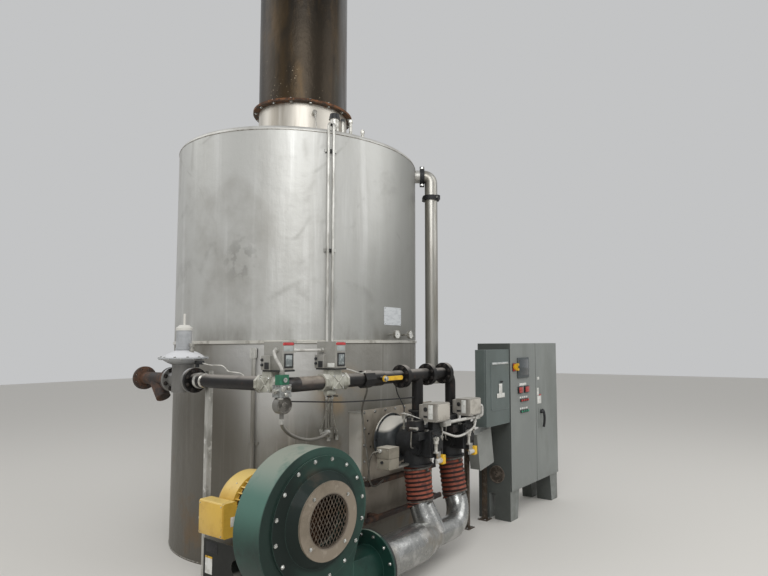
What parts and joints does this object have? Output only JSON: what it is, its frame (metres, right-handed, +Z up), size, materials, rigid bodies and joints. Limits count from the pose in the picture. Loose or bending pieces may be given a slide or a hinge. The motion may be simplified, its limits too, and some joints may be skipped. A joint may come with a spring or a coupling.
{
  "type": "direct contact water heater",
  "caption": "Gas-fired direct contact water heater: vertical stainless vessel with a flue stack, front burners fed by a scroll blower, a gas train and a floor-standing control cabinet.",
  "frame": {"origin": "on the vessel's axis at floor level", "axes": "+Z up along the vessel and stack, +X along the row towards the control cabinet, -Y towards the aisle that the burners and cabinet face"},
  "size_m": [4.5057, 3.507, 5.9],
  "materials": {
    "stainless_shell": "mill finish stainless plate, dull and water marked",
    "stainless_head": "mill finish stainless head, stained",
    "stack_steel": "mill finish stainless stack with rust at the ring joint",
    "band_steel": "bare steel band round the shell",
    "galvanized": "galvanized sheet duct, dull",
    "black_iron": "black painted gas pipe and flanges",
    "brown_iron": "bare iron with brown surface rust",
    "cast_grey": "light grey cast valve bodies",
    "actuator_grey": "grey beige painted housings",
    "regulator_grey": "grey painted regulator",
    "burner_black": "black cast iron burner bodies",
    "casing_steel": "bare steel burner casings, stained",
    "hose_red": "red brown corrugated hose",
    "fan_green": "dark green painted blower",
    "ring_tan": "tan painted inlet ring",
    "zinc_mesh": "galvanized expanded mesh",
    "motor_yellow": "yellow enamel",
    "pedestal_grey": "dark grey painted steel",
    "strut_zinc": "galvanized strut",
    "cabinet_grey": "blue grey powder coat",
    "handle_black": "black moulded handle",
    "knob_red": "red rotary handle",
    "lever_yellow": "yellow sleeve on a steel lever",
    "controls_black": "black bezels and buttons",
    "igniter_tan": "tan and grey box",
    "plate_pale": "blank pale plate",
    "gauge_steel": "stainless gauge case"
  },
  "bodies": {
    "plant": {"tank_floor": "stainless_shell", "lower_shell": "stainless_shell", "upper_shell": "stainless_shell", "girth_ring": "band_steel", "top_head": "stainless_head", "stack_nozzle": "stack_steel", "stack_section": "stack_steel", "inlet_nozzle": "stainless_shell", "inlet_coupling": "black_iron", "inlet_riser": "stainless_shell", "outlet_nozzle": "stainless_shell", "burner_box": "stainless_shell", "burner_plate": "stainless_shell", "burner_casings": "casing_steel", "burner_bodies": "burner_black", "control_motors": "actuator_grey", "air_hoses": "hose_red", "wye_duct": "galvanized", "blower_scroll": "fan_green", "blower_outlet": "fan_green", "blower_cover": "fan_green", "inlet_ring": "ring_tan", "inlet_guard": "zinc_mesh", "motor_frame": "motor_yellow", "motor_cowl": "motor_yellow", "terminal_box": "motor_yellow", "pedestal": "pedestal_grey", "gas_strainer": "brown_iron", "regulator_body": "regulator_grey", "regulator_case": "regulator_grey", "gas_pipe_left": "black_iron", "shutoff_valves": "cast_grey", "valve_actuators": "actuator_grey", "corner_nipple": "brown_iron", "hand_valve": "black_iron", "gas_manifold": "black_iron", "pipe_post": "strut_zinc", "cabinet_body": "cabinet_grey", "cabinet_legs": "cabinet_grey", "disconnect_box": "cabinet_grey", "disconnect_cover": "cabinet_grey", "junction_box": "actuator_grey", "junction_stand": "strut_zinc", "igniter_box": "igniter_tan", "wall_conduits": "strut_zinc", "gauges": "gauge_steel", "data_plate": "plate_pale", "front_rail": "brown_iron", "flame_scanners": "gauge_steel", "gas_trim": "gauge_steel", "flex_conduits": "strut_zinc", "head_fittings": "gauge_steel"},
    "door_left": {"cabinet_door_left": "cabinet_grey", "door_controls": "controls_black"},
    "door_right": {"cabinet_door_right": "cabinet_grey"},
    "pull_handle": {"door_handle": "handle_black"},
    "rotary_handle": {"disconnect_handle": "knob_red"},
    "gas_lever": {"valve_lever": "lever_yellow"},
    "fan": {"fan_wheel": "strut_zinc"}
  },
  "joints": [
    {"name": "door_left_hinge", "type": "hinge", "parent": "plant", "child": "door_left", "pos_m": [1.291, -1.823, 1.09], "axis": [0, 0, -1], "range_deg": [0, 110]},
    {"name": "door_right_hinge", "type": "hinge", "parent": "plant", "child": "door_right", "pos_m": [2.471, -1.823, 1.09], "axis": [0, 0, 1], "range_deg": [0, 120]},
    {"name": "pull_handle_turn", "type": "hinge", "parent": "door_right", "child": "pull_handle", "pos_m": [2.015, -1.817, 1.08], "axis": [0, -1, 0], "range_deg": [0, 90]},
    {"name": "rotary_handle_turn", "type": "hinge", "parent": "door_left", "child": "rotary_handle", "pos_m": [1.374, -1.817, 1.615], "axis": [0, -1, 0], "range_deg": [0, 90]},
    {"name": "gas_lever_turn", "type": "hinge", "parent": "plant", "child": "gas_lever", "pos_m": [-0.735, -1.81, 1.6], "axis": [0, 1, 0], "range_deg": [0, 90]},
    {"name": "fan_spin", "type": "hinge", "parent": "plant", "child": "fan", "pos_m": [-1.555, -1.85, 0.755], "axis": [0, 1, 0], "continuous": true}
  ]
}
